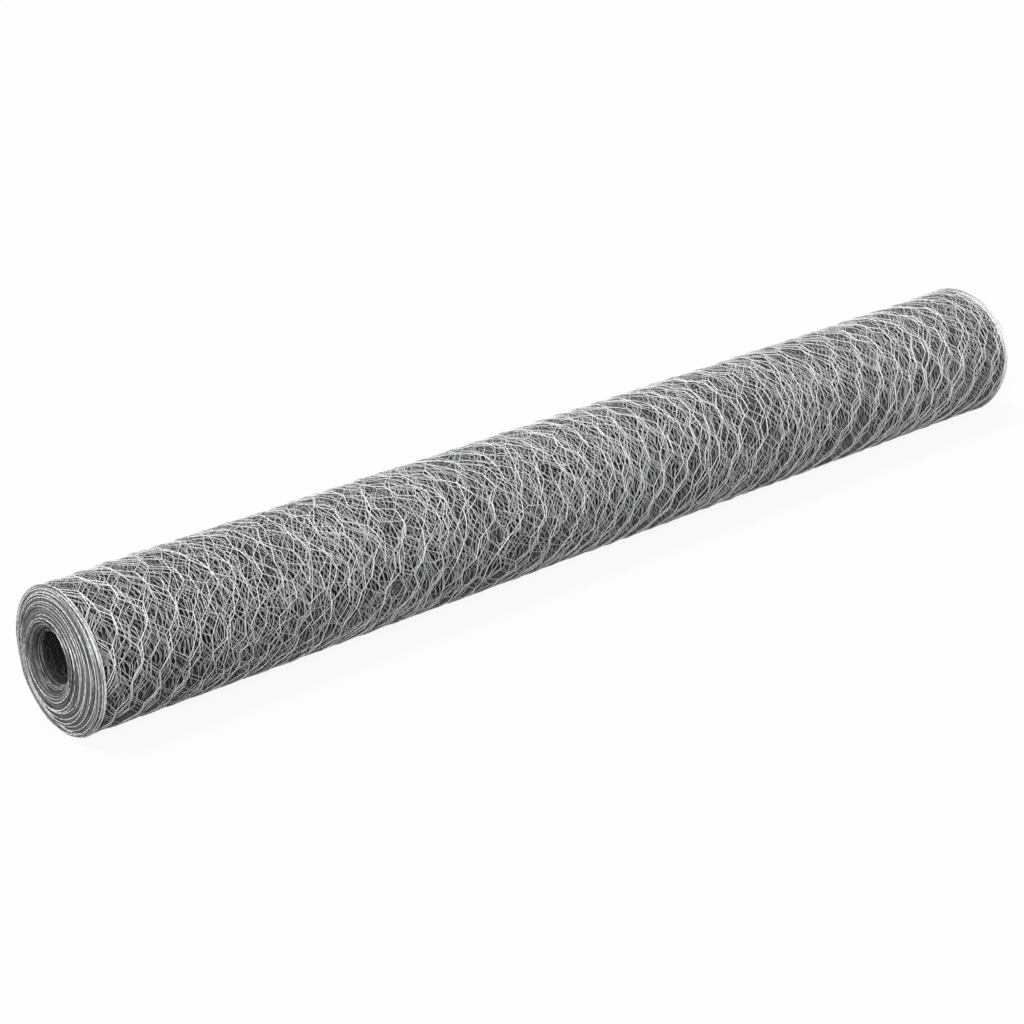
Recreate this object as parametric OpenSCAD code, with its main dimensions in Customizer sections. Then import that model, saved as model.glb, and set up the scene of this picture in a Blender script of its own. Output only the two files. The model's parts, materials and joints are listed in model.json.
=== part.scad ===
// Roll of hexagonal wire netting.
// One long strip of galvanised netting is wound on itself into a tube with an open bore.
// Every turn is one netting width long. The turns have slid along each other a little, so at
// the domed end they stand out towards the mouth of the bore, and at the other end they are
// set back by as much. The roll lies along X on the floor, with its domed end towards -X.

/* [Netting] */
// Width of the netting, which is the length of every turn
net_width = 1000; // [300:10:2000]
// Radial room that one turn takes; it is adjusted slightly to give whole turns
turn_pitch = 1.25; // [0.9:0.05:2.5]

/* [Roll] */
// Outside diameter of the roll
outer_d = 120; // [90:1:250]
// Clear diameter of the bore, inside the innermost turn
bore_d = 40; // [20:1:54]

/* [Ends] */
// Diameter at which the turns stand out furthest, the mouth of the bore
mouth_d = 60; // [56:1:80]
// How far the turns at the mouth stand out past the outermost turn
dome_height = 12; // [0:0.5:30]
// How the dome rises from the outermost turn: 1 is a cone, less is rounder
dome_shape = 0.6; // [0.4:0.1:1.5]
// How far the innermost turn sits back from the turns at the mouth
tail_setback = 9; // [0:0.5:40]
// Width of the groove between the edges of two neighbouring turns
groove_w = 0.45; // [0.1:0.05:0.7]
// Depth of that groove
groove_depth = 1.2; // [0.2:0.1:3]

/* [Hidden] */
$fn = 180;

outer_r = outer_d / 2;
bore_r = bore_d / 2;
mouth_r = mouth_d / 2;

// Whole turns between the bore and the outside, and the pitch that they then have
turns = round((outer_r - bore_r) / turn_pitch);
pitch = (outer_r - bore_r) / turns;

// The outermost and innermost radius of a turn, counted from 0 at the outside
function turn_out(k) = outer_r - k * pitch;
function turn_in(k) = turn_out(k) - pitch;
function turn_mid(k) = turn_out(k) - pitch / 2;

// How far the edge of a turn stands out past the outermost turn at the domed end:
// rising from the outside to the mouth, then falling back to the innermost turn
function rise(r) = dome_height * pow(max(0, outer_r - r) / (outer_r - mouth_r), dome_shape);
function fall(r) = dome_height - tail_setback * (mouth_r - r) / (mouth_r - bore_r);
function slide(k) =
    k == 0 ? 0 :
    turn_mid(k) >= mouth_r ? rise(turn_mid(k)) : fall(turn_mid(k));

// Half of the groove is taken from each of the two turns beside it, but none from the
// outside of the roll or the wall of the bore
function land_out(k) = k == 0 ? turn_out(k) : turn_out(k) - groove_w / 2;
function land_in(k) = k == turns - 1 ? turn_in(k) : turn_in(k) + groove_w / 2;

// Both ends as [radius, position along the roll], the domed end first
dome_end = [
    for (k = [0 : turns - 1]) each [
        [land_out(k), -slide(k)],
        [land_in(k), -slide(k)],
        if (k < turns - 1) [turn_in(k), groove_depth - min(slide(k), slide(k + 1))],
    ]
];
dished_end = [
    for (k = [turns - 1 : -1 : 0]) each [
        if (k < turns - 1)
            [turn_in(k), net_width - groove_depth - max(slide(k), slide(k + 1))],
        [land_in(k), net_width - slide(k)],
        [land_out(k), net_width - slide(k)],
    ]
];

// The origin is under the middle of the whole roll, from the turn that stands out furthest
// at the domed end to the one that stands out furthest at the dished end
slides = [for (k = [0 : turns - 1]) slide(k)];
middle = (net_width - max(slides) - min(slides)) / 2;

module netting_roll() {
    color([0.58, 0.59, 0.60])
        translate([-middle, 0, outer_r])
            rotate([0, 90, 0])
                rotate_extrude()
                    polygon(concat(dome_end, dished_end));
}

netting_roll();
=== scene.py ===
"""Roll of hexagonal wire netting: the visual model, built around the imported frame.

One strip of galvanised netting is wound on itself. The strip is worked out flat, as wires that
zigzag between their neighbours and are twisted together in pairs, and then every point of every
wire is wound onto a spiral. All lengths are in metres and all angles in radians unless a name
says otherwise. The roll lies along X, with its domed end towards -X. A turn is counted from 0 at
the outside, and a place round the roll is an angle from 0 at the top towards +Y.
"""

from __future__ import annotations

import json
import logging
import math
from dataclasses import dataclass, field
from enum import Enum
from typing import Any

import bpy
import numpy as np
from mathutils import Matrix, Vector

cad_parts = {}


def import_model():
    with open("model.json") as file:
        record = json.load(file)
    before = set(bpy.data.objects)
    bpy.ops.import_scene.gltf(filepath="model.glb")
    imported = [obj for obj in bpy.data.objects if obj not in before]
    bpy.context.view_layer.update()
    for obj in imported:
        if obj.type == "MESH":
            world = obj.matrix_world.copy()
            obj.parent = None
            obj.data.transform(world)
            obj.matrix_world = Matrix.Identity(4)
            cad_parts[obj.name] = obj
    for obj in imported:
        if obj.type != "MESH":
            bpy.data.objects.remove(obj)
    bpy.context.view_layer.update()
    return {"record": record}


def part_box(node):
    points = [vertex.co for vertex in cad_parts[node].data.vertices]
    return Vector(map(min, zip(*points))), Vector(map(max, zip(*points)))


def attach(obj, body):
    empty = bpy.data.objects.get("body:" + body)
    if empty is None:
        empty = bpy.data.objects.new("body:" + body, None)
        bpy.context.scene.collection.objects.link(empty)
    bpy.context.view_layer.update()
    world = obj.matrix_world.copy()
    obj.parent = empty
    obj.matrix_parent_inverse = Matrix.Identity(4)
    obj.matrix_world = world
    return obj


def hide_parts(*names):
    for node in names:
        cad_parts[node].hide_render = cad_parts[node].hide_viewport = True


log = logging.getLogger("netting_roll")

MM = 0.001
NODE = "netting_roll"

Colour = tuple[float, float, float]
# Painted shade: the sleeve's wires in the bore are painted far darker than outside.
PAINTED_SHADE_WIRE_IN_THE_BORE: Colour = (0.10, 0.10, 0.102)


class Detail(Enum):
    """How finely a turn's wires are drawn: the sides of a wire and the steps in a twist."""

    FINE = (5, 8)
    MEDIUM = (4, 4)

    @property
    def sides(self) -> int:
        """Sides of a wire's section."""
        return self.value[0]

    @property
    def twist_steps(self) -> int:
        """Steps along one twist."""
        return self.value[1]


class StripEdge(Enum):
    """The two long edges of the strip."""

    DOMED = "domed"
    DISHED = "dished"


class SmoothNoise:
    """A smooth random field in two directions, as a sum of waves, with a mean square of 1."""

    def __init__(self, seed: int, shortest: float, longest: float, waves: int = 14) -> None:
        """Draws the waves.

        Args:
            seed: makes the field the same in every run.
            shortest: the shortest wavelength.
            longest: the longest wavelength.
            waves: how many waves are added up.
        """
        rng = np.random.default_rng(seed)
        number = 2 * math.pi / rng.uniform(shortest, longest, waves)
        heading = rng.uniform(0, 2 * math.pi, waves)
        self.across = number * np.cos(heading)
        self.along = number * np.sin(heading)
        self.phase = rng.uniform(0, 2 * math.pi, waves)

    def __call__(self, a: np.ndarray, b: np.ndarray) -> np.ndarray:
        """Reads the field.

        Args:
            a: place across.
            b: place along.

        Returns:
            The field there.
        """
        total = np.zeros(np.broadcast(a, b).shape)
        for across, along, phase in zip(self.across, self.along, self.phase):
            total += np.sin(across * a + along * b + phase)
        return total * math.sqrt(2 / len(self.phase))

    def swirl(self, a: np.ndarray, b: np.ndarray) -> tuple[np.ndarray, np.ndarray]:
        """A shift that keeps areas: what stretches one way shrinks the other way.

        Args:
            a: place across.
            b: place along.

        Returns:
            The shift across and the shift along.
        """
        shift_a = np.zeros(np.broadcast(a, b).shape)
        shift_b = np.zeros(np.broadcast(a, b).shape)
        for across, along, phase in zip(self.across, self.along, self.phase):
            wave = np.sin(across * a + along * b + phase) / math.hypot(across, along)
            shift_a += along * wave
            shift_b -= across * wave
        size = math.sqrt(4 / len(self.phase))
        return shift_a * size, shift_b * size


@dataclass(frozen=True)
class Ripple:
    """A wave from turn to turn, whose crests wander in and out as they go round the roll."""

    height: float
    turns: float
    wander: float
    start: float
    times: int = 1

    def __call__(self, turn: np.ndarray, place: np.ndarray) -> np.ndarray:
        """The height of the wave at a turn and a place round the roll."""
        wandering = self.wander * np.sin(place * self.times + self.start)
        return self.height * np.sin(2 * math.pi * turn / self.turns + wandering)


def bump(x: np.ndarray, low: float, high: float, edge: float) -> np.ndarray:
    """A smooth plateau: 1 between low and high, falling to 0 over the width of edge.

    Args:
        x: where it is read.
        low: where the plateau starts.
        high: where it ends.
        edge: how far the slopes on both sides reach.

    Returns:
        The height of the plateau at x, from 0 to 1.
    """
    rise = np.clip((x - low) / edge + 1, 0, 1)
    fall = np.clip((high - x) / edge + 1, 0, 1)
    both = np.minimum(rise, fall)
    return both * both * (3 - 2 * both)


@dataclass(frozen=True)
class Netting:
    """The flat strip: how its wires run and how they are twisted together."""

    width: float
    cells: int = 42
    row_pitch: float = 26.0 * MM
    wire_radius: float = 0.28 * MM
    twist_length: float = 14.5 * MM
    twist_revolutions: int = 2
    strand_offset: float = 0.26 * MM
    edge_wrap_offset: float = 0.55 * MM
    edge_wire_radius: float = 0.29 * MM
    edge_wire_offset: float = 0.20 * MM
    edge_twist_pitch: float = 11.0 * MM
    edge_step: float = 2.6 * MM

    @property
    def cell(self) -> float:
        """Distance across the strip from one twist to the next in a row."""
        return self.width / self.cells

    @property
    def lanes(self) -> int:
        """Number of wires side by side."""
        return 2 * self.cells

    def column(self, lane: np.ndarray, row: np.ndarray) -> np.ndarray:
        """Half-cells from the strip's edge to the twist that a wire joins in a row."""
        return np.where(row % 2 == 0, 2 * (lane // 2) + 1, 2 * ((lane + 1) // 2))

    def side(self, lane: np.ndarray, row: np.ndarray) -> np.ndarray:
        """Which strand of the twist a wire is: -1 nearer the strip's edge, or 1."""
        return np.where((lane + row) % 2 == 0, -1.0, 1.0)


@dataclass(frozen=True)
class Winding:
    """How the strip is wound: a spiral from its outside in, whose turns have slid along each other."""

    rim_x: float
    axis_z: float
    outer_r: float
    bore_r: float
    row_pitch: float
    turns: int = 32
    mouth_r: float = 30.0 * MM
    dome_height: float = 12.0 * MM
    dome_shape: float = 0.6
    tail_setback: float = 9.0 * MM
    mouth_shape: float = 0.6
    raised: float = 3.5 * MM
    raised_reach: float = 60.0 * MM
    mouth_oval: float = 0.07
    face_tilt: float = 1.4 * MM
    tilt_place: float = math.radians(140)
    netting_half: float = 0.6 * MM
    start_angle: float = math.radians(142)
    tight_pitch: float = 0.25 * MM
    slump: float = 2.3 * MM
    slump_depth: float = 3.0 * MM
    slump_end: float = 14.0 * MM
    slump_reach: float = 20.0 * MM
    steps_per_turn: int = 360
    table: tuple[np.ndarray, np.ndarray] = field(init=False, repr=False)

    def __post_init__(self) -> None:
        """Works out how many rows of twists lie before each angle of the spiral."""
        angle = np.linspace(0, 2 * math.pi * self.turns, self.turns * self.steps_per_turn + 1)
        per_turn = 2 * math.pi * self.spiral_r(angle) / self.row_pitch
        step = np.diff(angle) * (per_turn[1:] + per_turn[:-1]) / (4 * math.pi)
        rows = np.concatenate([[0.0], np.cumsum(step)])
        object.__setattr__(self, "table", (angle, rows))

    @property
    def top(self) -> float:
        """Radius of the middle of the outermost netting."""
        return self.outer_r - self.netting_half

    @property
    def pitch(self) -> float:
        """Mean radial room of one turn."""
        return (self.outer_r - self.bore_r - 2 * self.netting_half) / self.turns

    @property
    def rows(self) -> int:
        """Rows of twists in the whole strip."""
        return int(self.table[1][-1]) - 1

    def spiral_r(self, angle: np.ndarray) -> np.ndarray:
        """Radius of the spiral, whose turns lie tight at the outside and round the bore.

        Args:
            angle: counted from the strip's outer end.

        Returns:
            The radius of the middle of the netting.
        """
        turn = angle / (2 * math.pi)
        swing = np.sin(angle / self.turns) * self.turns / (2 * math.pi)
        looser = (self.pitch - self.tight_pitch) * (turn - swing)
        return self.top - self.tight_pitch * turn - looser

    def angle_at(self, row: np.ndarray) -> np.ndarray:
        """Angle along the spiral at which a row lies."""
        angle, rows = self.table
        return np.interp(row, rows, angle)

    def row_at(self, turn: float) -> float:
        """Rows of twists before a turn."""
        angle, rows = self.table
        return float(np.interp(turn * 2 * math.pi, angle, rows))

    def slide(self, radius: np.ndarray) -> np.ndarray:
        """How far the strip's edge stands out past the outermost edge, at the domed end."""
        rise = np.clip((self.top - radius) / (self.top - self.mouth_r), 0, 1) ** self.dome_shape
        return self.dome_height * rise - self.tail_setback * self.inside_mouth(radius)

    def inside_mouth(self, radius: np.ndarray) -> np.ndarray:
        """How far in from the lip of the mouth to the bore a radius lies.

        Args:
            radius: radius in the even roll.

        Returns:
            0 at the lip and outside it, and 1 at the bore.
        """
        innermost = self.bore_r + self.netting_half
        left = np.clip((radius - innermost) / (self.mouth_r - innermost), 0, 1)
        return 1 - left**self.mouth_shape

    def tilt(self, place: np.ndarray) -> np.ndarray:
        """How far the turns have slid out of square with the axis, towards the domed end."""
        return self.face_tilt * np.cos(place - self.tilt_place)

    def slumped(self, radius: np.ndarray, place: np.ndarray, across: np.ndarray) -> np.ndarray:
        """Radius once the roll has slumped: its lower turns are loose, and its mouth is high and tall.

        Args:
            radius: radius in the even roll.
            place: place round the roll.
            across: distance from the strip's edge at the domed end.

        Returns:
            The radius in the slumped roll.
        """
        depth = self.top - radius
        near = np.clip(1 - across / self.raised_reach, 0, 1)
        share = np.clip(depth / (self.top - self.mouth_r), 0, 1) * near * near
        start = np.clip(depth / self.slump_depth, 0, 1)
        rest = np.clip((self.slump_end - depth) / (self.slump_end - self.slump_depth), 0, 1)
        inset = np.clip(across / self.slump_reach, 0, 1)
        lowest = self.slump * start * rest * inset * (1 - np.cos(place)) / 2
        oval = self.mouth_oval * share * (1 - self.inside_mouth(radius)) * np.cos(2 * place)
        return radius * (1 + oval) + lowest + self.raised * share * np.cos(place)


@dataclass
class Slack:
    """The ways in which a real roll differs from an even one: slack turns, bent and stretched cells."""

    netting: Netting
    winding: Winding
    seed: int = 11
    wide_waves: tuple[float, float] = (90 * MM, 260 * MM)
    close_waves: tuple[float, float] = (60 * MM, 120 * MM)
    lift_waves: tuple[float, float] = (60 * MM, 180 * MM)
    slip_waves: tuple[float, float] = (90 * MM, 240 * MM)
    # A twist's own faults: everywhere, and added to that where the cells are disturbed.
    fault_mm: tuple[float, float] = (0.5, 2.2)
    fault_degrees: tuple[float, float] = (3.5, 16.0)
    # The disturbed stretch, in shares of the strip's width, and how it sets in below the outermost turn.
    rough_stretch: tuple[float, float] = (0.14, 0.44)
    rough_edge: float = 0.08
    rough_from: float = 0.3
    rough_turns: float = 1.2
    rough_least: float = 0.6
    rough_shift: float = 3.8 * MM
    # How far the cells are bent in the outermost turn, and what is added to that below it.
    calm_mm: tuple[float, float] = (0.8, 1.0)
    calm_from: float = 0.5
    held_edge: float = 30.0 * MM
    slip: float = 5.0 * MM
    turn_step: float = 30.0 * MM
    lifted: float = 0.35 * MM
    lifted_turns: float = 3.0
    shrunk: float = 1.8 * MM
    shrunk_place: float = math.radians(70)
    shrunk_reach: float = 40.0 * MM
    flare_height: float = 2.6 * MM
    flare_place: float = math.radians(282)
    flare_power: int = 3
    flare_turns: float = 32.0
    flare_reach: float = 90.0 * MM
    last_flare: float = 2.6 * MM
    last_place: float = math.radians(306)
    last_power: int = 6
    last_turns: float = 1.6
    packed_from: float = 8.0
    packed_short: float = 6.0
    packed_edge: float = 3.0
    packed_clumps: Ripple = Ripple(0.75 * MM, 5.1, 1.6, 0.8)
    packed_pairs: Ripple = Ripple(0.25 * MM, 2.15, 1.3, 2.0, times=2)
    edge_pairs: Ripple = Ripple(0.7 * MM, 2.15, 1.9, 2.4)
    edge_clumps: Ripple = Ripple(0.9 * MM, 5.3, 1.2, 1.1)

    def __post_init__(self) -> None:
        """Draws the fields and the small faults of each twist."""
        # Each field and the faults have a seed of their own.
        netting, winding, seed = self.netting, self.winding, self.seed
        self.wide = SmoothNoise(seed, *self.wide_waves)
        self.close = SmoothNoise(seed + 2, *self.close_waves)
        self.lift_field = SmoothNoise(seed + 4, *self.lift_waves)
        self.slip_field = SmoothNoise(seed + 6, *self.slip_waves)
        self.lead_field = SmoothNoise(seed + 7, *self.slip_waves)
        rng = np.random.default_rng(seed + 5)
        shape = (winding.rows + 2, netting.lanes + 1)
        row, column = np.indices(shape)
        turn = winding.angle_at(row) / (2 * math.pi)
        rough = self.disturbed(column * netting.cell / 2, turn)
        fault = self.fault_mm[0] + self.fault_mm[1] * rough
        degrees = self.fault_degrees[0] + self.fault_degrees[1] * rough
        self.twist_shift = rng.normal(0, 1, shape) * fault * MM
        self.twist_drift = rng.normal(0, 1, shape) * fault * MM
        self.twist_tilt = rng.normal(0, 1, shape) * np.radians(degrees)
        self.wire_tone = rng.uniform(0, 1, netting.lanes)

    def disturbed(self, across: np.ndarray, turn: np.ndarray) -> np.ndarray:
        """How disturbed the cells are, from 0 to 1: most in one stretch, below the outermost turn."""
        stretch = bump(across / self.netting.width, *self.rough_stretch, self.rough_edge)
        depth = np.clip((turn - self.rough_from) / self.rough_turns, self.rough_least, 1)
        return stretch * depth

    def shift(
        self, across: np.ndarray, along: np.ndarray, turn: np.ndarray
    ) -> tuple[np.ndarray, np.ndarray]:
        """How far a point of the strip has moved within the strip.

        Args:
            across: distance from the strip's edge.
            along: distance from the strip's outer end.
            turn: turns from the outside.

        Returns:
            The shift across the strip and the shift along it.
        """
        outer, deeper = self.calm_mm
        calm = (outer + deeper * np.clip(turn - self.calm_from, 0, 1)) * MM
        rough = self.rough_shift * self.disturbed(across, turn)
        wide_across, wide_along = self.wide.swirl(across, along)
        close_across, close_along = self.close.swirl(across, along)
        slip = self.slip * self.slip_field(across, turn * self.turn_step)
        lead = self.slip * self.lead_field(across, turn * self.turn_step)
        move_across = calm * wide_across + rough * close_across + slip
        move_along = calm * wide_along + rough * close_along + lead
        from_edge = np.minimum(across, self.netting.width - across)
        return move_across * np.clip(from_edge / self.held_edge, 0, 1), move_along

    def lift(self, across: np.ndarray, along: np.ndarray, turn: np.ndarray) -> np.ndarray:
        """How far a point of the strip stands off the spiral, which is most at the outside.

        Args:
            across: distance from the strip's edge.
            along: distance from the strip's outer end.
            turn: turns from the outside.

        Returns:
            The height, which is negative where the turn is tight.
        """
        outermost = np.clip(1 - turn / self.lifted_turns, 0, 1)
        return self.lifted * self.lift_field(across, along) * outermost

    def gap(self, across: np.ndarray, turn: np.ndarray, place: np.ndarray) -> np.ndarray:
        """How far the other turns lie in from the outermost one, at the back of the domed end.

        Args:
            across: distance from the strip's edge at the domed end.
            turn: turns from the outside.
            place: place round the roll.

        Returns:
            What the radius loses.
        """
        side = np.clip(np.cos(place - self.shrunk_place), 0, 1)
        near = np.clip(1 - across / self.shrunk_reach, 0, 1)
        below = np.clip(2 * (turn - 1), 0, 1) * np.clip(1 - turn / self.winding.turns, 0, 1)
        return self.shrunk * (side * near) ** 2 * below

    def flare(self, across: np.ndarray, turn: np.ndarray, place: np.ndarray) -> np.ndarray:
        """How far the edges have sprung out on one side of the dished end, the last one furthest.

        Args:
            across: distance from the strip's edge at the domed end.
            turn: turns from the outside.
            place: place round the roll.

        Returns:
            The distance along the roll, towards the dished end.
        """
        side = np.clip(np.cos(place - self.flare_place), 0, 1) ** self.flare_power
        last_side = np.clip(np.cos(place - self.last_place), 0, 1) ** self.last_power
        near = np.clip((across - self.netting.width) / self.flare_reach + 1, 0, 1)
        height = self.flare_height * side * np.clip(1 - turn / self.flare_turns, 0, 1)
        last = self.last_flare * last_side * np.clip(2 * (self.last_turns - turn), 0, 1)
        return (height + last * near) * near**2

    def packing(self, turn: np.ndarray, place: np.ndarray) -> np.ndarray:
        """How far a turn lies off its even radius, so that turns lie in clumps with gaps between.

        Args:
            turn: turns from the outside.
            place: place round the roll.

        Returns:
            What the radius gains.
        """
        last = self.winding.turns - self.packed_short
        inner = bump(turn, self.packed_from, last, self.packed_edge)
        return inner * (self.packed_clumps(turn, place) + self.packed_pairs(turn, place))

    def edge_wave(self, turn: np.ndarray, place: np.ndarray) -> np.ndarray:
        """How far the strip's edge stands out or back from the even dome."""
        return self.edge_pairs(turn, place) + self.edge_clumps(turn, place)


@dataclass
class Roll:
    """Winds points of the flat strip onto the roll and runs wires through them."""

    netting: Netting
    winding: Winding
    slack: Slack

    def wind(self, across: np.ndarray, row: np.ndarray, stand: np.ndarray) -> np.ndarray:
        """Places points of the strip in space, none of them lower than a wire on the floor.

        Args:
            across: distance from the strip's edge.
            row: place along the strip, counted in rows of twists.
            stand: height above the strip's middle plane, outwards.

        Returns:
            The points, with x, y and z last.
        """
        winding, slack = self.winding, self.slack
        along = row * winding.row_pitch
        angle = winding.angle_at(row)
        turn = angle / (2 * math.pi)
        radius = winding.spiral_r(angle)
        move_across, move_along = slack.shift(across, along, turn)
        place = winding.start_angle + (angle + move_along / radius)
        slide = winding.slide(radius) + slack.edge_wave(turn, place) * np.clip(turn, 0, 1)
        slide += winding.tilt(place) - slack.flare(across, turn, place)
        radius = winding.slumped(radius + slack.packing(turn, place), place, across)
        radius = radius + slack.lift(across, along, turn) + stand
        radius -= slack.gap(across, turn, place)
        x = winding.rim_x + across + move_across - slide
        y = radius * np.sin(place)
        z = np.maximum(winding.axis_z + radius * np.cos(place), self.netting.wire_radius)
        return np.stack([x, y, z], axis=-1)

    def netting_paths(
        self, first: int, last: int, detail: Detail, lanes: np.ndarray
    ) -> tuple[np.ndarray, np.ndarray]:
        """The centre lines of wires between two rows.

        Args:
            first: the first row of twists.
            last: the last row of twists.
            detail: how finely they are drawn.
            lanes: which wires, counted across the strip.

        Returns:
            Points of shape (wires, rings, 3), and the turn at each ring.
        """
        n = self.netting
        lane = lanes[:, None, None]
        row = np.arange(first, last + 1)[None, :, None]
        progress = np.linspace(0, 1, detail.twist_steps + 1)[None, None, :]
        column = n.column(lane, row)
        side = n.side(lane, row)
        at_edge = (column == 0) | (column == n.lanes)
        offset = np.where(at_edge, n.edge_wrap_offset, n.strand_offset)
        helix = 2 * math.pi * n.twist_revolutions * progress
        sideways = side * offset * np.cos(helix)
        stand = side * offset * np.sin(helix)
        along = (progress - 0.5) * n.twist_length
        tilt = self.slack.twist_tilt[row, column]
        across = (
            column * n.cell / 2
            + self.slack.twist_shift[row, column] * ~at_edge
            + sideways * np.cos(tilt)
            - along * np.sin(tilt) * ~at_edge
        )
        drift = self.slack.twist_drift[row, column]
        rows = row + (drift + sideways * np.sin(tilt) + along) / n.row_pitch
        flat = [self._join_twists(values) for values in (across, rows, stand)]
        turn = self.winding.angle_at(flat[1]) / (2 * math.pi)
        return self.wind(*flat), turn

    @staticmethod
    def _join_twists(values: np.ndarray) -> np.ndarray:
        """Joins a wire's twists, with one ring half way from each twist to the next.

        Args:
            values: of shape (wires, twists, steps).

        Returns:
            The values of shape (wires, rings).
        """
        leave = values[:, :, -1]
        enter = np.concatenate([values[:, 1:, 0], values[:, -1:, -1]], axis=1)
        joined = np.concatenate([values, ((leave + enter) / 2)[:, :, None]], axis=2)
        return joined.reshape(len(values), -1)[:, :-1]

    def edge_paths(self, edge: StripEdge) -> tuple[np.ndarray, np.ndarray]:
        """The two wires twisted together along one edge of the whole strip.

        Args:
            edge: which edge of the strip.

        Returns:
            Points of shape (2, rings, 3), and the turn at each ring.
        """
        n = self.netting
        total = self.winding.rows * n.row_pitch
        along = np.arange(0, total, n.edge_step)[None, :]
        strand = np.array([[-1.0], [1.0]])
        helix = 2 * math.pi * along / n.edge_twist_pitch
        start = 0.0 if edge is StripEdge.DOMED else n.width
        across = start + strand * n.edge_wire_offset * np.cos(helix)
        stand = strand * n.edge_wire_offset * np.sin(helix)
        rows = along / n.row_pitch * np.ones_like(strand)
        turn = self.winding.angle_at(rows) / (2 * math.pi)
        return self.wind(across, rows, stand), turn


@dataclass
class WireMesh:
    """Draws round wires along centre lines and joins them into one mesh of closed wires.

    Each section has its first corner away from the roll's axis, which lies at the height axis_z.
    """

    name: str
    axis_z: float
    corners: list[np.ndarray] = field(default_factory=list)
    tones: list[np.ndarray] = field(default_factory=list)
    depths: list[np.ndarray] = field(default_factory=list)
    quads: list[np.ndarray] = field(default_factory=list)
    caps: list[np.ndarray] = field(default_factory=list)
    count: int = 0

    def add(
        self, paths: np.ndarray, radius: float, sides: int, tone: np.ndarray, depth: np.ndarray
    ) -> None:
        """Draws one wire along each path.

        Args:
            paths: centre lines, of shape (wires, rings, 3).
            radius: radius of the wires.
            sides: sides of their section.
            tone: one value for each wire, from 0 to 1.
            depth: turns from the outside at each ring, of shape (wires, rings), by which the finish
                paints shade; for edge wires, their painted shade counted in turns.
        """
        wires, rings, _ = paths.shape
        tangent = np.gradient(paths, axis=1)
        tangent /= np.linalg.norm(tangent, axis=2, keepdims=True)
        outward = paths - np.array([0, 0, self.axis_z])
        outward[..., 0] = 0
        outward -= tangent * (outward * tangent).sum(axis=2, keepdims=True)
        outward /= np.linalg.norm(outward, axis=2, keepdims=True)
        sideways = np.cross(tangent, outward)
        around = 2 * math.pi * np.arange(sides) / sides
        ring = paths[:, :, None, :] + radius * (
            np.cos(around)[:, None] * outward[:, :, None, :]
            + np.sin(around)[:, None] * sideways[:, :, None, :]
        )
        number = self.count + np.arange(wires * rings * sides).reshape(wires, rings, sides)
        beside = np.roll(number, -1, axis=2)
        quads = np.stack([number[:, :-1], beside[:, :-1], beside[:, 1:], number[:, 1:]], axis=-1)
        self.corners.append(ring.reshape(-1, 3))
        self.quads.append(quads.reshape(-1, 4))
        self.caps.append(np.concatenate([number[:, 0, ::-1], number[:, -1]]))
        self.tones.append(np.repeat(tone, rings * sides))
        self.depths.append(np.repeat(depth.reshape(-1), sides))
        self.count += wires * rings * sides

    def make(self) -> bpy.types.Object:
        """Makes the object.

        Returns:
            The object, at the origin and with its place in its mesh.
        """
        corners = np.concatenate(self.corners)
        faces = [*self.quads, *self.caps]
        loop = np.concatenate([face.reshape(-1) for face in faces])
        total = np.concatenate([np.full(len(face), face.shape[1]) for face in faces])
        starts = np.concatenate([[0], np.cumsum(total)[:-1]])
        walls = sum(len(quads) for quads in self.quads)
        mesh = bpy.data.meshes.new(self.name)
        mesh.vertices.add(len(corners))
        mesh.vertices.foreach_set("co", corners.reshape(-1).astype(np.float32))
        mesh.loops.add(len(loop))
        mesh.loops.foreach_set("vertex_index", loop.astype(np.int32))
        mesh.polygons.add(len(total))
        mesh.polygons.foreach_set("loop_start", starts.astype(np.int32))
        mesh.polygons.foreach_set("use_smooth", np.arange(len(total)) < walls)
        mesh.update(calc_edges=True)
        for label, values in (("tone", self.tones), ("depth", self.depths)):
            attribute = mesh.attributes.new(label, "FLOAT", "POINT")
            attribute.data.foreach_set("value", np.concatenate(values).astype(np.float32))
        made = bpy.data.objects.new(self.name, mesh)
        bpy.context.scene.collection.objects.link(made)
        return made


class ShaderTree:
    """A node tree that is being filled. Its methods return the outputs of the nodes they add."""

    def __init__(self, tree: bpy.types.NodeTree) -> None:
        """Keeps the tree."""
        self.tree = tree

    def feed(self, node: bpy.types.Node, inputs: dict[str | int, Any]) -> None:
        """Feeds a node.

        Args:
            node: a node of this tree.
            inputs: for each input, its value or the output that is linked to it.
        """
        for key, value in inputs.items():
            if isinstance(value, bpy.types.NodeSocket):
                self.tree.links.new(value, node.inputs[key])
            else:
                node.inputs[key].default_value = value

    def add(
        self, kind: str, output: str, inputs: dict[str | int, Any] | None = None, **settings: Any
    ) -> bpy.types.NodeSocket:
        """Adds a node.

        Args:
            kind: its type, without the prefix that all of them have.
            output: the name of the output that is wanted.
            inputs: for each input, its value or the output that is linked to it.
            settings: properties of the node, which are set before its inputs are fed.

        Returns:
            The output.
        """
        node = self.tree.nodes.new(f"ShaderNode{kind}")
        for key, value in settings.items():
            setattr(node, key, value)
        self.feed(node, inputs or {})
        return node.outputs[output]

    def math(self, operation: str, *inputs: Any) -> bpy.types.NodeSocket:
        """Adds a sum on numbers."""
        return self.add("Math", "Value", dict(enumerate(inputs)), operation=operation)

    def vector(self, operation: str, *inputs: Any) -> bpy.types.NodeSocket:
        """Adds a sum on vectors."""
        return self.add("VectorMath", "Vector", dict(enumerate(inputs)), operation=operation)

    def mix(self, factor: bpy.types.NodeSocket, at_0: Colour, at_1: Colour) -> bpy.types.NodeSocket:
        """Adds a blend of two colours."""
        inputs = {"Factor": factor, "A": (*at_0, 1), "B": (*at_1, 1)}
        return self.add("Mix", "Result", inputs, data_type="RGBA")


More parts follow.
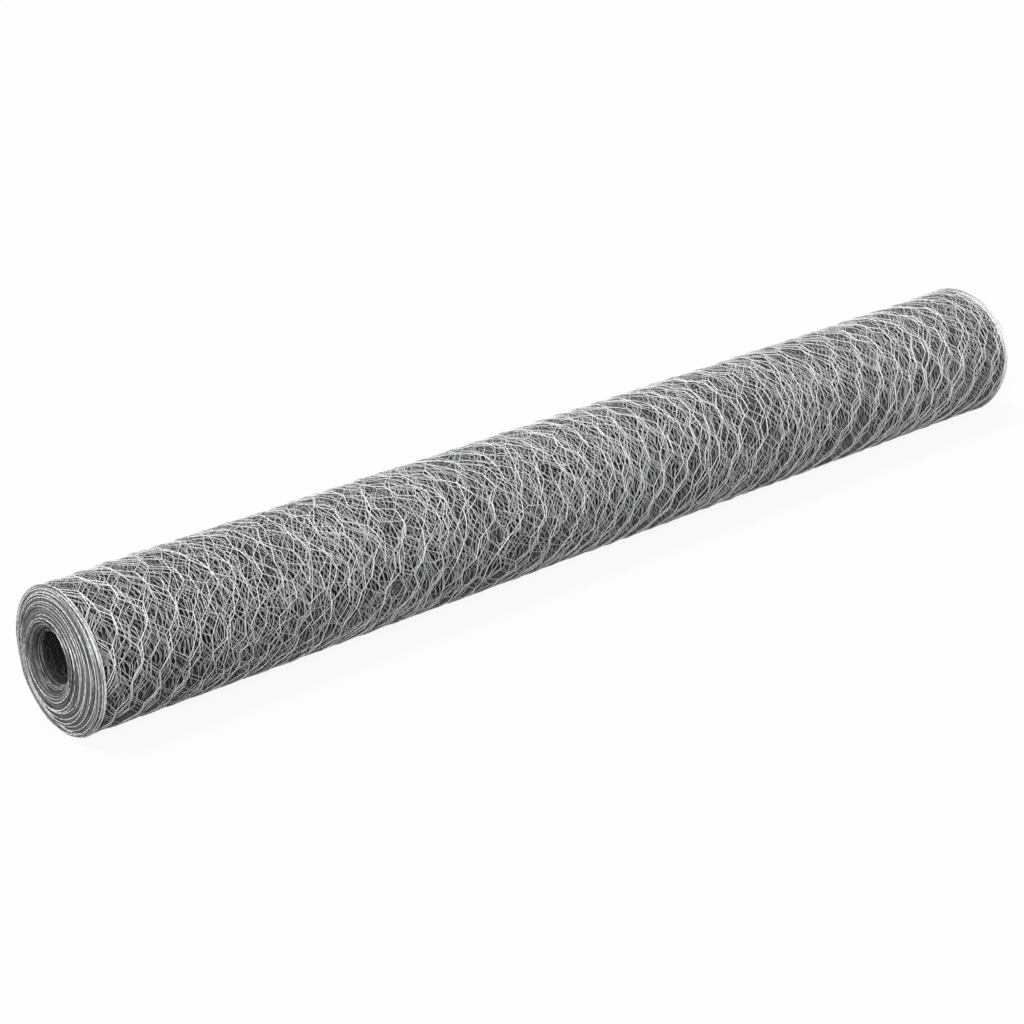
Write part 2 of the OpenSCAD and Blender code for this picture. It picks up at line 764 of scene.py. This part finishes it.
def new_material(name: str) -> tuple[bpy.types.Material, ShaderTree, bpy.types.Node]:
    """Starts a material.

    Args:
        name: its name.

    Returns:
        The material, its tree and its Principled shader.
    """
    material = bpy.data.materials.new(name)
    material.use_nodes = True
    return material, ShaderTree(material.node_tree), material.node_tree.nodes["Principled BSDF"]


@dataclass(frozen=True)
class Galvanised:
    """Dull hot-dipped zinc on drawn wire, with painted shade that darkens it the deeper it lies in the
    roll.
    """

    name: str = "galvanised_wire"
    light: Colour = (0.86, 0.863, 0.87)
    dark: Colour = (0.56, 0.565, 0.575)
    wire_share: float = 0.35
    patch_scale: float = 160.0
    patch_detail: float = 3.0
    # Share of the colour that the painted shade leaves at the deepest turn.
    deepest_painted_shade: float = 0.06
    shallow_turns: float = 0.5
    deep_turns: float = 28.0
    metallic: float = 0.15
    specular: float = 0.2
    smoothest: float = 0.35
    roughest: float = 0.55

    def make(self) -> bpy.types.Material:
        """Builds the material, which reads each wire's tone and its depth, by which it paints shade.

        Returns:
            The material.
        """
        material, tree, shader = new_material(self.name)
        place = tree.add("TexCoord", "Object")
        patching = {"Vector": place, "Scale": self.patch_scale, "Detail": self.patch_detail}
        patches = tree.add("TexNoise", "Fac", patching)
        tone = tree.add("Attribute", "Fac", attribute_name="tone")
        mixed = tree.math("MULTIPLY_ADD", tone, self.wire_share, patches)
        zinc = tree.mix(mixed, self.dark, self.light)
        # Painted shade: the colour loses the same share with each turn of depth.
        depth = tree.add("Attribute", "Fac", attribute_name="depth")
        range_of_depth = {"Value": depth, "From Min": self.shallow_turns, "From Max": self.deep_turns}
        painted_depth_shade = tree.math("POWER", self.deepest_painted_shade, tree.add("MapRange", "Result", range_of_depth))
        colour = tree.add("VectorMath", "Vector", operation="SCALE", inputs={0: zinc, "Scale": painted_depth_shade})
        range_of_finish = {"Value": patches, "To Min": self.smoothest, "To Max": self.roughest}
        roughness = tree.add("MapRange", "Result", range_of_finish)
        constants = {"Metallic": self.metallic, "Specular IOR Level": self.specular}
        tree.feed(shader, {**constants, "Base Color": colour, "Roughness": roughness})
        return material


def tie_to_frame(piece: bpy.types.Object) -> bpy.types.Object:
    """Ties a piece to the frame, where it takes the place of the turned solid.

    Args:
        piece: a finished piece of the roll.

    Returns:
        The same piece.
    """
    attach(piece, "root")
    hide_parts(NODE)
    return piece


@dataclass(frozen=True)
class EdgePaintedShade:
    """Painted shade on the edge wires, as turns of depth: in streaks, in the mouth and on one side."""

    streak_shade_depth: float = 10.0
    streak_seed: int = 23
    streak_waves: tuple[float, float] = (1.2, 4.0)
    streak_swing: float = 2.5
    streak_start: float = 0.6
    clump_turns: float = 2.35
    mean: float = 0.4
    swing: float = 0.75
    limits: tuple[float, float] = (0.16, 2.0)
    mouth_shade_depth: float = 9.0
    mouth_rate: float = 5.0
    shaded_side_depth: float = 4.5
    shaded_side_place: float = math.radians(110)
    shaded_side_mean: float = 0.45

    def depth(self, winding: Winding, turn: np.ndarray) -> np.ndarray:
        """How deep the edge wires seem to lie, as painted shade.

        Args:
            winding: how the strip is wound.
            turn: turns from the outside.

        Returns:
            The depth in turns.
        """
        angle = turn * 2 * math.pi
        noise = SmoothNoise(self.streak_seed, *self.streak_waves)
        streaks = noise(turn, self.streak_swing * np.sin(angle + self.streak_start))
        clumps = np.sin(2 * math.pi * turn / self.clump_turns)
        # Each term is painted shade: streaks and clumps of darker rings, the recess of the mouth, and
        # one side of the roll.
        level = np.clip(self.mean + self.swing * clumps + self.swing * streaks, *self.limits)
        inside = np.clip(self.mouth_rate * winding.inside_mouth(winding.spiral_r(angle)), 0, 1)
        side = np.clip(np.cos(winding.start_angle + angle - self.shaded_side_place), 0, 1)
        depth = self.streak_shade_depth * level + self.mouth_shade_depth * inside
        return np.maximum(depth + self.shaded_side_depth * (side - self.shaded_side_mean), 0)


@dataclass
class WoundNetting:
    """The whole strip as it lies in the roll, in pieces that each take a stretch of its turns."""

    roll: Roll
    material: bpy.types.Material
    packed: tuple[float, float] = (6, 30)
    end_lanes: int = 2
    edge_sides: int = 4
    edge_tones: tuple[float, float] = (0.3, 1.0)
    painted_edge_shade: EdgePaintedShade = EdgePaintedShade()
    stretches: tuple[tuple[str, float, float, Detail], ...] = (
        ("outermost_turn", 0, 1, Detail.FINE),
        ("second_turn", 1, 2, Detail.FINE),
        ("third_and_fourth_turns", 2, 4, Detail.MEDIUM),
        ("fifth_and_sixth_turns", 4, 6, Detail.MEDIUM),
        ("bore_wall_turns", 30, 32, Detail.MEDIUM),
    )

    def build(self) -> list[bpy.types.Object]:
        """Builds every stretch and both edges.

        Returns:
            The pieces.
        """
        every = np.arange(self.roll.netting.lanes)
        made = [self._stretch(*stretch, every) for stretch in self.stretches]
        ends = np.concatenate([every[: self.end_lanes], every[-self.end_lanes :]])
        made.append(self._stretch("packed_turns_at_the_ends", *self.packed, Detail.MEDIUM, ends))
        made += [self._edge(edge) for edge in StripEdge]
        return made

    def _dress(self, mesh: WireMesh) -> bpy.types.Object:
        """Makes one piece of the strip, with its finish, and ties it to the frame.

        Args:
            mesh: its wires.

        Returns:
            The piece.
        """
        piece = mesh.make()
        piece.data.materials.append(self.material)
        return tie_to_frame(piece)

    def _stretch(
        self, name: str, first: float, last: float, detail: Detail, lanes: np.ndarray
    ) -> bpy.types.Object:
        """Builds the chosen wires between two turns.

        Args:
            name: the piece's name.
            first: the turn where it starts.
            last: the turn where it ends.
            detail: how finely it is drawn.
            lanes: which wires, counted across the strip.

        Returns:
            The piece.
        """
        winding = self.roll.winding
        begin = int(winding.row_at(first))
        end = min(int(winding.row_at(last)), winding.rows)
        paths, turn = self.roll.netting_paths(begin, end, detail, lanes)
        mesh = WireMesh(name, winding.axis_z)
        tone = self.roll.slack.wire_tone[lanes]
        # The turn is the depth by which the finish paints shade.
        mesh.add(paths, self.roll.netting.wire_radius, detail.sides, tone, turn)
        return self._dress(mesh)

    def _edge(self, edge: StripEdge) -> bpy.types.Object:
        """Builds the twisted edge wires at one end of the roll.

        Args:
            edge: which edge of the strip.

        Returns:
            The piece.
        """
        paths, turn = self.roll.edge_paths(edge)
        mesh = WireMesh(f"edge_wires_{edge.value}_end", self.roll.winding.axis_z)
        # The edge wires' depth is painted shade, which the finish turns into darkening.
        depth = self.painted_edge_shade.depth(self.roll.winding, turn)
        radius = self.roll.netting.edge_wire_radius
        mesh.add(paths, radius, self.edge_sides, np.array(self.edge_tones), depth)
        return self._dress(mesh)


@dataclass(frozen=True)
class HexagonalPattern:
    """Hexagonal netting as a painted mask, with finer lines nested in its cells."""

    twist_share: float = 0.35
    nested: float = 0.17
    faint: float = 0.1
    half_width: float = 0.022
    crisp_share: float = 0.4

    def make(self) -> bpy.types.NodeTree:
        """Builds one layer of the pattern.

        The strip is folded at its twists, so that in each fold there is one wire, which runs
        straight through half a twist, slants across and runs straight again. More lines follow
        it at even distances, and each line of each cell is drawn strong or faint by lot.

        Returns:
            The node group, with the strip's place as its input and the mask as its output.
        """
        group = bpy.data.node_groups.new("hexagonal_netting", "ShaderNodeTree")
        group.interface.new_socket("Place", in_out="INPUT", socket_type="NodeSocketVector")
        group.interface.new_socket("Mask", in_out="OUTPUT", socket_type="NodeSocketFloat")
        tree = ShaderTree(group)
        place = group.nodes.new("NodeGroupInput").outputs["Place"]
        half_twist = self.twist_share / 2
        split = tree.add("SeparateXYZ", "X", {"Vector": place}).node.outputs
        across = tree.math("PINGPONG", split["X"], 0.5)
        along = tree.math("PINGPONG", split["Y"], 1.0)
        slanting = {"Value": along, "From Min": half_twist, "From Max": 1 - half_twist, "To Max": 0.5}
        wire = tree.add("MapRange", "Result", slanting)
        away = tree.math("ABSOLUTE", tree.math("SUBTRACT", across, wire))
        number = tree.math("ROUND", tree.math("DIVIDE", away, self.nested))
        line = tree.vector("ADD", tree.vector("FLOOR", place), number)
        lot = tree.add("TexWhiteNoise", "Value", {"Vector": line})
        strength = tree.add("MapRange", "Result", {"Value": lot, "To Min": self.faint})
        drawing = {
            "Value": tree.math("PINGPONG", away, self.nested / 2),
            "From Min": self.half_width,
            "From Max": self.half_width * self.crisp_share,
        }
        drawn = tree.add("MapRange", "Result", drawing, interpolation_type="SMOOTHSTEP")
        end = group.nodes.new("NodeGroupOutput")
        tree.feed(end, {"Mask": tree.math("MULTIPLY", drawn, strength)})
        return group


@dataclass(frozen=True)
class PackedWires:
    """Painted wires over gaps painted near black as shade, where the turns lie too deep to be told
    apart.
    """

    name: str
    gap: Colour
    wire: Colour
    roughness: float = 0.6
    specular: float = 0.1

    def _paint(self, tree: ShaderTree, shader: bpy.types.Node, mask: bpy.types.NodeSocket) -> None:
        """Gives the shader its colours, with the wires where the mask is 1."""
        constants = {"Roughness": self.roughness, "Specular IOR Level": self.specular}
        tree.feed(shader, {**constants, "Base Color": tree.mix(mask, self.gap, self.wire)})


@dataclass(frozen=True)
class PackedNetting(PackedWires):
    """Turn upon turn of netting seen from above."""

    name: str = "packed_netting"
    # The gaps are painted near black, as the shade deep in the roll.
    gap: Colour = (0.009, 0.009, 0.010)
    wire: Colour = (0.85, 0.853, 0.86)
    # How far each layer is moved across and along, how it is stretched along, and how strong it is, the
    # deeper layers painted dimmer as shade.
    layers: tuple[tuple[float, float, float, float], ...] = (
        (0.10, 0.35, 0.97, 1.0),
        (0.47, 0.80, 1.04, 0.85),
        (0.73, 0.15, 0.91, 0.70),
    )
    bend: float = 1.2
    bend_scale: float = 0.4
    bend_detail: float = 3.0
    relief: float = 1.5 * MM

    def make(self, pattern: bpy.types.NodeTree) -> bpy.types.Material:
        """Builds the material, which reads the piece's own UV map: cells across, rows along.

        Args:
            pattern: the node group of one layer.

        Returns:
            The material.
        """
        material, tree, shader = new_material(self.name)
        place = tree.add("UVMap", "UV")
        mask = None
        for number, (across, along, scale, level) in enumerate(self.layers):
            bending = {"Scale": self.bend_scale, "Detail": self.bend_detail, "W": float(number)}
            bend = tree.add("TexNoise", "Color", {"Vector": place, **bending}, noise_dimensions="4D")
            moving = {"Vector": place, "Location": (across, along, 0), "Scale": (1, scale, 1)}
            moved = tree.add("Mapping", "Vector", moving)
            bent = tree.vector("MULTIPLY_ADD", bend, (self.bend, self.bend, 0), moved)
            layer = tree.add("Group", "Mask", node_tree=pattern, inputs={"Place": bent})
            faded = tree.math("MULTIPLY", layer, level)
            mask = faded if mask is None else tree.math("MAXIMUM", mask, faded)
        self._paint(tree, shader, mask)
        relief = tree.add("Bump", "Normal", {"Height": mask, "Distance": self.relief})
        tree.feed(shader, {"Normal": relief})
        return material


@dataclass(frozen=True)
class PackedEdges(PackedWires):
    """Edge upon edge of netting seen end on, as rings."""

    name: str = "packed_edges"
    # Painted shade: near black gaps and rings darker than the netting outside, for the recessed ends;
    # inside the mouth the rings are painted darker still.
    gap: Colour = (0.015, 0.015, 0.016)
    wire: Colour = (0.34, 0.342, 0.345)
    mouth_painted_shade: float = 0.15
    mouth_lip: float = 2.0 * MM
    rings_per_turn: int = 2
    ring_waver: float = 0.6
    # Radians of a ring wave in one unit of its scaled place.
    wave_rate: float = 20.0

    def make(self, winding: Winding) -> bpy.types.Material:
        """Builds the material, with rings round the axis and painted shade that darkens them inside the
        mouth.

        Args:
            winding: how the strip is wound.

        Returns:
            The material.
        """
        material, tree, shader = new_material(self.name)
        place = tree.add("TexCoord", "Object")
        centring = {"Vector": place, "Location": (0, 0, -winding.axis_z)}
        centred = tree.add("Mapping", "Vector", centring)
        scale = self.rings_per_turn * 2 * math.pi / (self.wave_rate * winding.pitch)
        waving = {"Vector": centred, "Scale": scale, "Distortion": self.ring_waver}
        rings = tree.add("TexWave", "Fac", waving, wave_type="RINGS", rings_direction="X")
        flat = tree.vector("MULTIPLY", centred, (0, 1, 1))
        mouth_shade_range = {
            "Value": tree.add("VectorMath", "Value", {0: flat}, operation="LENGTH"),
            "From Min": winding.bore_r,
            "From Max": winding.mouth_r + self.mouth_lip,
            "To Min": self.mouth_painted_shade,
        }
        self._paint(tree, shader, tree.math("MULTIPLY", rings, tree.add("MapRange", "Result", mouth_shade_range)))
        return material


@dataclass
class PackedTurns:
    """The turns in the middle of the wall, packed too deep to be told apart: one closed sleeve."""

    roll: Roll
    outside: bpy.types.Material
    ends: bpy.types.Material
    bore: bpy.types.Material
    first: float
    last: float
    domed_inset: float = 3.0 * MM
    dished_inset: float = 2.0 * MM
    dished_rim_inset: float = 1.5 * MM
    sections: int = 128
    face_rings: int = 8
    mouth_rings: int = 9
    # Where the rings in the bore lie, as shares of how far the raised mouth reaches.
    bore_rings: tuple[float, ...] = (0.33, 0.67, 1)
    merge: float = 0.01 * MM
    smooth_angle: float = math.radians(40)
    end_slope: float = 0.05

    def build(self) -> bpy.types.Object:
        """Makes the sleeve between two turns, short of the strip's edges.

        Returns:
            The sleeve.
        """
        sleeve = self._turned(self._outline())
        for material in (self.outside, self.ends, self.bore):
            sleeve.data.materials.append(material)
        for face in sleeve.data.polygons:
            face.material_index = self._finish_of(face)
        self._map_netting(sleeve.data)
        for corner in sleeve.data.vertices:
            corner.co = self._settled(corner.co)
        return tie_to_frame(sleeve)

    def _outline(self) -> list[tuple[float, float]]:
        """The sleeve's section, as places along X and radii.

        Returns:
            The corners: the domed end from its rim inwards, the bore, the dished end and the outside.
        """
        winding, netting = self.roll.winding, self.roll.netting
        outer = float(winding.spiral_r(self.first * 2 * math.pi))
        inner = float(winding.spiral_r(self.last * 2 * math.pi))
        face = np.linspace(outer, winding.mouth_r, self.face_rings)
        mouth = np.linspace(winding.mouth_r, inner, self.mouth_rings)
        radii = np.concatenate([face, mouth[1:]])
        slides = winding.slide(radii)
        domed = winding.rim_x - slides + self.domed_inset
        dished = winding.rim_x + netting.width - slides - self.dished_inset
        dished[0] = winding.rim_x + netting.width - self.dished_rim_inset
        outline = list(zip(domed, radii))
        outline += [(winding.rim_x + share * winding.raised_reach, inner) for share in self.bore_rings]
        outline += list(zip(dished[::-1], radii[::-1]))
        outline.append((winding.rim_x + winding.slump_reach, outer))
        return outline

    def _turned(self, outline: list[tuple[float, float]]) -> bpy.types.Object:
        """Turns a section round the roll's axis, ring by ring.

        Args:
            outline: the section's corners, as places along X and radii.

        Returns:
            The closed shape.
        """
        axis_z = self.roll.winding.axis_z
        start_x, start_r = outline[0]
        bpy.ops.object.select_all(action="DESELECT")
        bpy.ops.mesh.primitive_circle_add(
            vertices=self.sections,
            radius=start_r,
            location=(start_x, 0, axis_z),
            rotation=(0, math.pi / 2, 0),
        )
        sleeve = bpy.context.object
        sleeve.name = "packed_middle_turns"
        bpy.ops.object.transform_apply(location=True, rotation=True, scale=True)
        bpy.ops.object.mode_set(mode="EDIT")
        bpy.ops.mesh.select_all(action="SELECT")
        for (from_x, from_r), (to_x, to_r) in zip(outline, outline[1:] + outline[:1]):
            bpy.ops.mesh.extrude_region_move(TRANSFORM_OT_translate={"value": (to_x - from_x, 0, 0)})
            growth = to_r / from_r
            bpy.ops.transform.resize(value=(1, growth, growth), center_override=(to_x, 0, axis_z))
        bpy.ops.mesh.select_all(action="SELECT")
        bpy.ops.mesh.remove_doubles(threshold=self.merge)
        bpy.ops.mesh.normals_make_consistent(inside=False)
        bpy.ops.object.mode_set(mode="OBJECT")
        bpy.ops.object.shade_smooth_by_angle(angle=self.smooth_angle)
        return sleeve

    def _finish_of(self, face: bpy.types.MeshPolygon) -> int:
        """Chooses a face's material by the way it looks.

        Args:
            face: a face of the even sleeve.

        Returns:
            The material's slot: 0 on the outside, 1 on the ends and 2 in the bore, whose netting is
            painted darker as shade.
        """
        if abs(face.normal.x) > self.end_slope:
            return 1
        from_axis = face.center - Vector((face.center.x, 0, self.roll.winding.axis_z))
        return 0 if face.normal.dot(from_axis) > 0 else 2

    def _settled(self, corner: Vector) -> tuple[float, float, float]:
        """Where a corner of the even sleeve lies once the roll has slumped, tilted and flared.

        Args:
            corner: its place in the even sleeve.

        Returns:
            Its place in the real one.
        """
        winding = self.roll.winding
        y, z = corner.y, corner.z - winding.axis_z
        radius = math.hypot(y, z)
        place = math.atan2(y, z)
        across = corner.x - winding.rim_x
        stretch = float(winding.slumped(radius, place, across)) / radius
        flare = float(self.roll.slack.flare(across, self.first, place))
        x = corner.x + flare - winding.tilt(place)
        return x, y * stretch, winding.axis_z + z * stretch

    def _map_netting(self, mesh: bpy.types.Mesh) -> None:
        """Gives each corner its place on the strip: cells across and rows along.

        Args:
            mesh: the even sleeve. Each of its faces gets an even number of rows to a turn.
        """
        winding, netting = self.roll.winding, self.roll.netting
        layer = mesh.uv_layers.active
        for face in mesh.polygons:
            y, z = face.center.y, face.center.z - winding.axis_z
            middle = math.atan2(y, z)
            rows = 2 * round(math.pi * math.hypot(y, z) / netting.row_pitch)
            for loop in face.loop_indices:
                corner = mesh.vertices[mesh.loops[loop].vertex_index].co
                angle = math.atan2(corner.y, corner.z - winding.axis_z)
                angle += 2 * math.pi * round((middle - angle) / (2 * math.pi))
                across = (corner.x - winding.rim_x) / netting.cell
                layer.data[loop].uv = (across, angle * rows / (2 * math.pi))


@dataclass(frozen=True)
class SoftSun:
    """A lamp that lights everything evenly from one side, with soft shadows."""

    name: str
    towards: tuple[float, float, float]
    strength: float
    spread: float

    def add(self) -> None:
        """Adds the lamp."""
        bpy.ops.object.light_add(type="SUN", location=self.towards)
        light = bpy.context.object
        light.name = self.name
        light.rotation_euler = Vector(self.towards).to_track_quat("Z", "Y").to_euler()
        light.data.angle = self.spread
        light.data.energy = self.strength


@dataclass
class Studio:
    """A pale floor, soft lights from above and from the front, and the camera."""

    low: Vector
    high: Vector
    rim_x: float
    floor_size: float = 16.0
    floor_tone: float = 0.05
    floor_roughness: float = 0.9
    floor_glow: float = 0.92
    lit_world: float = 0.46
    suns: tuple[SoftSun, ...] = (
        SoftSun("overhead", (-0.4, 0.1, 1.0), 1.9, math.radians(8)),
        SoftSun("front", (-0.9, -0.65, 0.6), 2.2, math.radians(7)),
    )
    lens_mm: float = 94.92
    sensor_mm: float = 36.0
    camera_from_rim: tuple[float, float, float] = (-0.90241, -1.57030, 0.91959)
    camera_azimuth: float = math.radians(-40.4986)
    camera_elevation: float = math.radians(24.1743)

    def build(self) -> None:
        """Makes the floor, the world, the lights and the camera."""
        self._floor()
        self._world()
        for sun in self.suns:
            sun.add()
        self._camera()

    def _floor(self) -> None:
        """A wide pale floor that shows white but keeps the roll's shadow."""
        bpy.ops.mesh.primitive_plane_add(size=self.floor_size, location=(0, 0, 0))
        floor = bpy.context.object
        floor.name = "studio_floor"
        material, tree, shader = new_material("studio_floor")
        inputs = {
            "Base Color": (self.floor_tone, self.floor_tone, self.floor_tone, 1),
            "Roughness": self.floor_roughness,
            "Specular IOR Level": 0.0,
            "Emission Color": (1, 1, 1, 1),
            "Emission Strength": tree.math("MULTIPLY", self._shown(tree), self.floor_glow),
        }
        tree.feed(shader, inputs)
        floor.data.materials.append(material)

    @staticmethod
    def _shown(tree: ShaderTree) -> bpy.types.NodeSocket:
        """Tells when the background is looked at, and does not just light something.

        Args:
            tree: the tree of the floor or the world.

        Returns:
            1 where it is seen straight, in a reflection or through glass, and else 0.
        """
        shown = tree.add("LightPath", "Is Camera Ray")
        rays = shown.node.outputs
        for ray in ("Is Glossy Ray", "Is Transmission Ray"):
            shown = tree.math("MAXIMUM", shown, rays[ray])
        return shown

    def _world(self) -> None:
        """White to the camera and in reflections, and a plain fill light to everything else."""
        world = bpy.data.worlds.new("studio")
        bpy.context.scene.world = world
        world.use_nodes = True
        tree = ShaderTree(world.node_tree)
        inputs = {"Value": self._shown(tree), "To Min": self.lit_world, "To Max": 1.0}
        strength = tree.add("MapRange", "Result", inputs)
        background = world.node_tree.nodes["Background"]
        tree.feed(background, {"Color": (1, 1, 1, 1), "Strength": strength})

    def _camera(self) -> None:
        """A long lens that looks down along the roll from its domed end."""
        rim = Vector((self.rim_x, (self.low.y + self.high.y) / 2, (self.low.z + self.high.z) / 2))
        level = math.cos(self.camera_elevation)
        back = Vector(
            (
                math.sin(self.camera_azimuth) * level,
                -math.cos(self.camera_azimuth) * level,
                math.sin(self.camera_elevation),
            )
        )
        bpy.ops.object.camera_add(location=rim + Vector(self.camera_from_rim))
        camera = bpy.context.object
        camera.rotation_euler = (-back).to_track_quat("-Z", "Y").to_euler()
        camera.data.lens = self.lens_mm
        camera.data.sensor_width = self.sensor_mm
        bpy.context.scene.camera = camera


def main() -> None:
    """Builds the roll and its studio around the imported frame."""
    logging.basicConfig(level=logging.INFO, format="%(name)s: %(message)s")
    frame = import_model()
    bpy.ops.object.select_all(action="DESELECT")
    low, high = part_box(NODE)
    bore = next(m for m in frame["record"]["mounts"] if m["name"] == "bore")
    outer_r = high.z / 2
    rim_x = low.x + Winding.dome_height
    netting = Netting(width=high.x - rim_x)
    winding = Winding(
        rim_x=rim_x,
        axis_z=outer_r,
        outer_r=outer_r,
        bore_r=bore["dims"]["r_mm"] * MM,
        row_pitch=netting.row_pitch,
    )
    roll = Roll(netting, winding, Slack(netting, winding))
    Studio(low, high, rim_x).build()
    wound = WoundNetting(roll, Galvanised().make())
    pieces = wound.build()
    ends = PackedEdges().make(winding)
    pattern = HexagonalPattern().make()
    outside = PackedNetting().make(pattern)
    # A copy of the sleeve's netting with painted shade, darker, for the bore.
    shaded = PackedNetting(name="packed_netting_painted_shade_in_the_bore", wire=PAINTED_SHADE_WIRE_IN_THE_BORE).make(pattern)
    pieces.append(PackedTurns(roll, outside, ends, shaded, *wound.packed).build())
    for piece in pieces:
        triangles = len(piece.data.loops) - 2 * len(piece.data.polygons)
        log.info("%s: %d triangles", piece.name, triangles)
    bpy.context.scene.view_settings.view_transform = "Standard"


if __name__ == "__main__":
    main()
